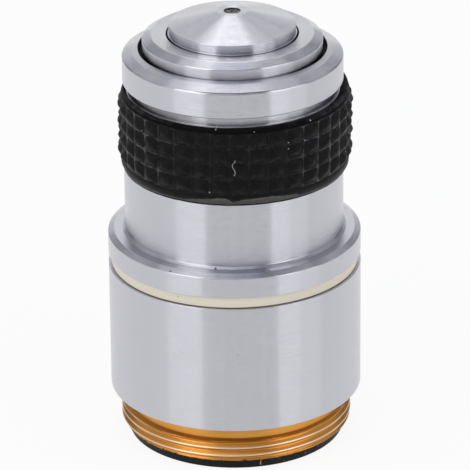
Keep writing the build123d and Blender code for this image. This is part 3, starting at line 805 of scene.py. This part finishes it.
# How much of the smooth lip shows under the pyramids, by azimuth in degrees. The rest is
# covered by rubber that bulged out of the mould, with torn ends.
lip_shows = [
    (-180, 0.35), (-150, 0.6), (-124, 0.3), (-96, 0.5), (-69, 0.3), (-58, 0.3), (-47, 0.3),
    (-41.5, 0.26), (-41, 0.14), (-28, 0.16), (-22, 0.36), (-14, 0.5), (-9, 0.62), (-5, 0.66),
    (-3, 0.5), (-1.5, 0.3), (0.5, 0.34), (3, 0.5), (10, 0.56), (17, 0.6), (25, 0.48), (32, 0.4),
    (33.5, 0.22), (46, 0.2), (52, 0.1), (75, 0.16), (104, 0.5), (133, 0.25), (180, 0.35),
]

# How far the rim's top edge has risen from its low front to its full height, as a share,
# by azimuth in degrees
crown_rise_shares = [
    (-180, 1), (-78, 1), (-62, 0.75), (-50, 0.4), (-38, 0.1), (-20, 0), (30, 0), (42, 0.2),
    (52, 0.6), (66, 1), (180, 1),
]


def make_grip():
    """The moulded grip ring: pyramids in rows, each a little different, a smooth rim that
    stands up round the neck, and a lip at the foot that rubber has bulged over."""
    rng = np.random.default_rng(7)
    per_tooth = 16
    share = np.sin(np.linspace(-1, 1, per_tooth + 1) * math.pi / 2)
    tooth = np.repeat(np.arange(grip_columns), per_tooth)
    across = np.tile(share[:-1], grip_columns)
    azimuth = grip_turn + (tooth + (across + 1) / 2) * 2 * math.pi / grip_columns
    around = len(azimuth)
    size = rng.normal(0, 0.04, (grip_rows, grip_columns))
    tilt = rng.normal(0, 0.07, (2, grip_rows, grip_columns))
    pull = rng.uniform(-0.16, 0.16, (2, grip_rows, grip_columns))
    bluntness = rng.uniform(0.72, 0.95, (grip_rows, grip_columns))
    turn = np.degrees(np.remainder(azimuth + math.pi, 2 * math.pi) - math.pi)
    shows = np.interp(turn, *zip(*lip_shows))
    crown = grip_crown_low + (grip_top - grip_crown_low) * np.interp(turn, *zip(*crown_rise_shares))
    waves = sum(rng.normal(0, 0.5) * np.cos(azimuth * k + rng.uniform(0, 6.28))
                for k in (9, 14, 23, 37, 52))
    shows = shows + 0.025 * waves

    def ring(radius, height, shifted=1):
        """One loop of points, off centre by the moulding's shift at its height."""
        radius, height = np.broadcast_to(radius, around), np.broadcast_to(height, around)
        climb = (height - grip_bottom) / (grip_rows_top - grip_bottom)
        shift = shifted * (grip_shift_low + (grip_shift_high - grip_shift_low) * climb)
        return np.stack([radius * np.sin(azimuth) + shift, -radius * np.cos(azimuth), height], 1)

    seat = grip_seat_radius + slip_gap
    hem_loops = [
        ring(seat, grip_bottom - 0.04, 0),
        ring(grip_lip_radius - 0.1, grip_bottom - grip_hem),
        ring(grip_lip_radius - 0.02, grip_bottom - grip_hem + 0.02 + 0.01 * waves),
        ring(grip_lip_radius - 0.01, grip_bottom + 0.02 + 0.01 * waves),
    ]
    lip_loops = [
        ring(grip_lip_radius - 0.05, grip_bottom + 0.05 + 0.01 * waves),
        ring(grip_lip_radius + 0.05, grip_bottom + 0.09 + 0.01 * waves),
        ring(grip_lip_radius + 0.05, grip_bottom + 0.15 + 0.01 * waves),
        ring(grip_lip_radius, grip_bottom + 0.2),
        ring(grip_lip_radius + 0.01, grip_bottom + np.maximum(shows, 0.23)),
    ]
    loops = hem_loops + lip_loops + [
        ring(grip_bulge_radius - 0.06, grip_bottom + np.maximum(shows, 0.23) + 0.01),
        ring(grip_bulge_radius, grip_bottom + np.maximum(shows, 0.23) + 0.05),
        ring(grip_bulge_radius + 0.02, grip_rows_bottom - 0.07),
    ]
    for row in range(grip_rows):
        for up in share[:-1]:
            lean = tilt[0, row, tooth] * up + tilt[1, row, tooth] * across
            beside = np.abs(across + pull[0, row, tooth] * (1 - across ** 2))
            above = np.abs(up + pull[1, row, tooth] * (1 - up ** 2))
            reach = (beside ** 6 + above ** 6) ** (1 / 6)
            slope = np.clip((0.975 - reach) / bluntness[row, tooth], 0, 1)
            rise = (grip_tip_radius - grip_furrow_radius) * slope * (0.97 + size[row, tooth] + lean)
            loops.append(ring(grip_furrow_radius + rise,
                              grip_rows_bottom + (row + (up + 1) / 2) * grip_row_pitch))
    rim_loops = [
        ring(grip_furrow_radius, grip_rows_top),
        ring(grip_furrow_radius + 0.01, grip_rows_top + 0.04),
        ring(grip_rim_radius - 0.02, grip_rows_top + 0.1),
        ring(grip_rim_radius, grip_rows_top + 0.15),
        ring(grip_rim_radius - 0.02, grip_rows_top + 0.2),
        ring(grip_crown_radius + 0.03, crown - 0.06),
        ring(grip_crown_radius, crown - 0.01),
        ring(grip_crown_radius - 0.06, crown - 0.01),
        ring(seat, grip_seat_top, 0),
    ]
    loops += rim_loops
    finish = np.zeros(len(loops), int)
    finish[len(hem_loops):len(hem_loops) + len(lip_loops) - 1] = 1
    finish[-len(rim_loops) - 1:] = 2
    return mesh_object("rubber_grip_ring", (np.concatenate(loops) * MM).tolist(),
                       grid_faces(len(loops), around), [grip_rubber, lip_rubber, rim_rubber],
                       np.repeat(finish, around))


rubber_grip = make_grip()
dress(rubber_grip, "housing", "rubber_grip")


def make_spring():
    """The return spring: round wire wound in a right-hand helix, with square-cut ends."""
    per_turn, sides = 72, 12
    bottom, top = spring_low[2] + spring_wire_radius, spring_high[2] - spring_wire_radius
    way = np.linspace(0, 1, round(per_turn * spring_turns) + 1)[:, None]
    turn = way * spring_turns * 2 * math.pi
    out = np.concatenate([np.cos(turn), np.sin(turn), 0 * turn], 1)
    lead = (top - bottom) / (spring_turns * 2 * math.pi)
    along = np.concatenate([-spring_radius * np.sin(turn), spring_radius * np.cos(turn),
                            0 * turn + lead], 1)
    up = np.cross(out, along / np.linalg.norm(along, axis=1, keepdims=True))
    centre = out * spring_radius + np.concatenate([0 * turn, 0 * turn, bottom + way * (top - bottom)], 1)
    angles = np.arange(sides) * 2 * math.pi / sides
    points = (centre[:, None] + spring_wire_radius * (np.cos(angles)[:, None] * out[:, None]
                                                      + np.sin(angles)[:, None] * up[:, None]))
    last = (len(way) - 1) * sides
    faces = [(row + i, row + sides + i, row + sides + (i + 1) % sides, row + (i + 1) % sides)
             for row in range(0, last, sides) for i in range(sides)]
    faces += [tuple(range(sides)), tuple(last + i for i in reversed(range(sides)))]
    made = mesh_object("return_spring_coil", (points.reshape(-1, 3) * MM).tolist(), faces,
                       [spring_steel])
    made.data.set_sharp_from_angle(angle=math.radians(50))
    return made


# The return spring, built at its imported length; the nose's flange presses it shorter by the whole
# travel
return_spring = make_spring()
dress(return_spring, "housing", "return_spring")
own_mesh(return_spring)

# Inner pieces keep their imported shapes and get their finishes
for finish, nodes in [
    (black_paint, ["rear_baffle", "spring_retainer", "meniscus_cell", "front_doublet_cell",
                   "middle_spacer", "rear_doublet_cell", "rear_spacer", "cell_lock_ring"]),
    (lens_glass, ["meniscus_lens", "front_crown_lens", "front_flint_lens", "rear_crown_lens",
                  "rear_flint_lens"]),
    (oily_glass, ["front_lens"]),
    (shim_brass, ["parfocal_shim"]),
    (screw_steel, ["guide_screw"]),
]:
    for node in nodes:
        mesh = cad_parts[node].data
        mesh.materials.clear()
        mesh.materials.append(finish)

# Camera at the photograph's viewing angle, with its place in millimetres
camera_place = (0.046, -340.59, 168.18)
look_down = math.radians(23.8)
lean_left = math.radians(-0.606)
camera = in_scene("camera", bpy.data.cameras.new("camera"))
camera.data.sensor_width = 36
camera.data.lens = 327.2
camera.data.clip_start, camera.data.clip_end = 0.01, 20
camera.location = Vector(camera_place) * MM
camera.rotation_euler = (
    Matrix.Rotation(math.pi / 2 - look_down, 3, "X") @ Matrix.Rotation(lean_left, 3, "Z")
).to_euler()
bpy.context.scene.camera = camera
bpy.context.scene.view_settings.view_transform = "Standard"


def shows_as_background(tree):
    """1 for rays that see the backdrop as such: from the camera, a mirror or a lens."""
    path = add(tree, "LightPath")
    seen = add(tree, "Math", "MAXIMUM",
               in_0=path.outputs["Is Camera Ray"], in_1=path.outputs["Is Glossy Ray"])
    return add(tree, "Math", "MAXIMUM",
               in_0=seen.outputs[0], in_1=path.outputs["Is Transmission Ray"]).outputs[0]


def white_floor():
    """Matt white table top, burnt out to the backdrop's white as in a product picture,
    but not so far that the object's shadow goes."""
    made, tree = material("matt white table")
    matt = add(tree, "BsdfDiffuse", Color=linear("#F4F4F4"))
    glow = add(tree, "Emission", Color=(1, 1, 1, 1), Strength=1.0)
    share = add(tree, "Math", "MULTIPLY", in_0=shows_as_background(tree), in_1=0.9)
    both = add(tree, "MixShader", in_0=share.outputs[0], in_1=matt.outputs[0],
               in_2=glow.outputs[0])
    add(tree, "OutputMaterial", Surface=both.outputs[0])
    return made


def place_round(item, azimuth, distance, height):
    """Stands a lamp round the object, aimed at it. Azimuth 0 is in front, 90 to the right."""
    turn = math.radians(azimuth)
    place = Vector((math.sin(turn) * distance, -math.cos(turn) * distance, height)) * MM
    aim = Vector((0, 0, LAMP_AIM * MM)) - place
    item.location = place
    item.rotation_euler = aim.to_track_quat("-Z", "Y").to_euler()


# The table reaches 3 m each way
floor = mesh_object("floor", [(-3, -3, 0), (3, -3, 0), (3, 3, 0), (-3, 3, 0)], [(0, 1, 2, 3)],
                    [white_floor()])
floor.location.z = -0.01 * MM

world = bpy.data.worlds.new("studio")
world.use_nodes = True
bpy.context.scene.world = world
sky = world.node_tree
sky.nodes.clear()
dim = add(sky, "Background", Color=linear("#F4F6FA"), Strength=0.7)
white = add(sky, "Background", Color=(1, 1, 1, 1), Strength=1.0)
both = add(sky, "MixShader", in_0=shows_as_background(sky), in_1=dim.outputs[0], in_2=white.outputs[0])
add(sky, "OutputWorld", Surface=both.outputs[0])


def softbox(name, width, height, brightness, azimuth, distance, lift):
    """A soft lamp panel. Brightness is how white its face looks, 1 being paper white."""
    lamp = bpy.data.lights.new(name, "AREA")
    lamp.shape = "RECTANGLE"
    lamp.size, lamp.size_y = width * MM, height * MM
    lamp.energy = brightness * math.pi * lamp.size * lamp.size_y
    made = in_scene(name, lamp)
    made.visible_camera = False
    place_round(made, azimuth, distance, lift)


def card(name, tone, left, right, low, high):
    """A curved card that only reflections show: one of the grey sides of the room round
    the lamps. It spans two azimuths and two elevations, in degrees."""
    made, tree = material(name)
    glow = add(tree, "Emission", Color=linear(tone), Strength=1.0)
    add(tree, "OutputMaterial", Surface=glow.outputs[0])
    across, up = np.meshgrid(np.radians(np.linspace(left, right, CARD_POINTS)),
                             np.radians(np.linspace(low, high, CARD_POINTS)))
    points = CARD_DISTANCE * np.stack([np.cos(up) * np.sin(across), -np.cos(up) * np.cos(across),
                                       np.sin(up)], -1).reshape(-1, 3)
    panel = mesh_object(name, (points * MM).tolist(),
                        grid_faces(CARD_POINTS, CARD_POINTS, False, False), [made])
    panel.visible_camera = False
    panel.visible_diffuse = False
    panel.visible_shadow = False


# Lamps: width, height, brightness, azimuth, distance and height above the floor
for name, *lamp in [
    ("left_softbox", 380, 640, 1.1, -45.5, 600, 310),
    ("left_outer_softbox", 180, 600, 0.22, -69, 600, 280),
    ("left_high_softbox", 700, 260, 0.5, -50, 300, 560),
    ("right_softbox", 250, 600, 1.0, 48.5, 600, 280),
    ("right_outer_softbox", 220, 600, 0.4, 70, 600, 280),
    ("back_top_softbox", 215, 300, 1.6, 182.4, 480, 660),
]:
    softbox(name, *lamp)

# Cards: tone, left and right azimuth, low and high elevation
for name, *span in [
    ("front_gap", "#505256", -28, 37, -1, 24),
    ("front_gap_upper", "#B6B9C2", -28, 37, 24, 46),
    ("front_gap_top", "#E2E4EE", -28, 37, 46, 66),
    ("left_wall", "#CDCDD2", -125, -63, -1, 46),
    ("right_wall", "#C4C4C9", 80, 125, -1, 46),
    ("left_corner", "#8C8C92", -150, -125, -1, 42),
    ("right_corner", "#8C8C92", 125, 150, -1, 42),
    ("left_corner_high", "#A4A4AA", -150, -125, 42, 56),
    ("right_corner_high", "#A4A4AA", 125, 150, 42, 56),
    ("left_back", "#D4D4DA", -166, -150, -1, 34),
    ("right_back", "#C4C4CA", 150, 166, -1, 34),
    ("left_back_high", "#F0F0F5", -166, -150, 34, 60),
    ("right_back_high", "#F0F0F5", 150, 166, 34, 60),
    ("left_high", "#A8AAB2", -125, -76, 46, 66),
    ("right_high", "#8A8C94", 37, 125, 46, 76),
    ("ceiling", "#BEC6DC", -180, 90, 76, 90),
    ("ceiling_right", "#A6B0CA", 90, 180, 76, 90),
]:
    card(name, *span)
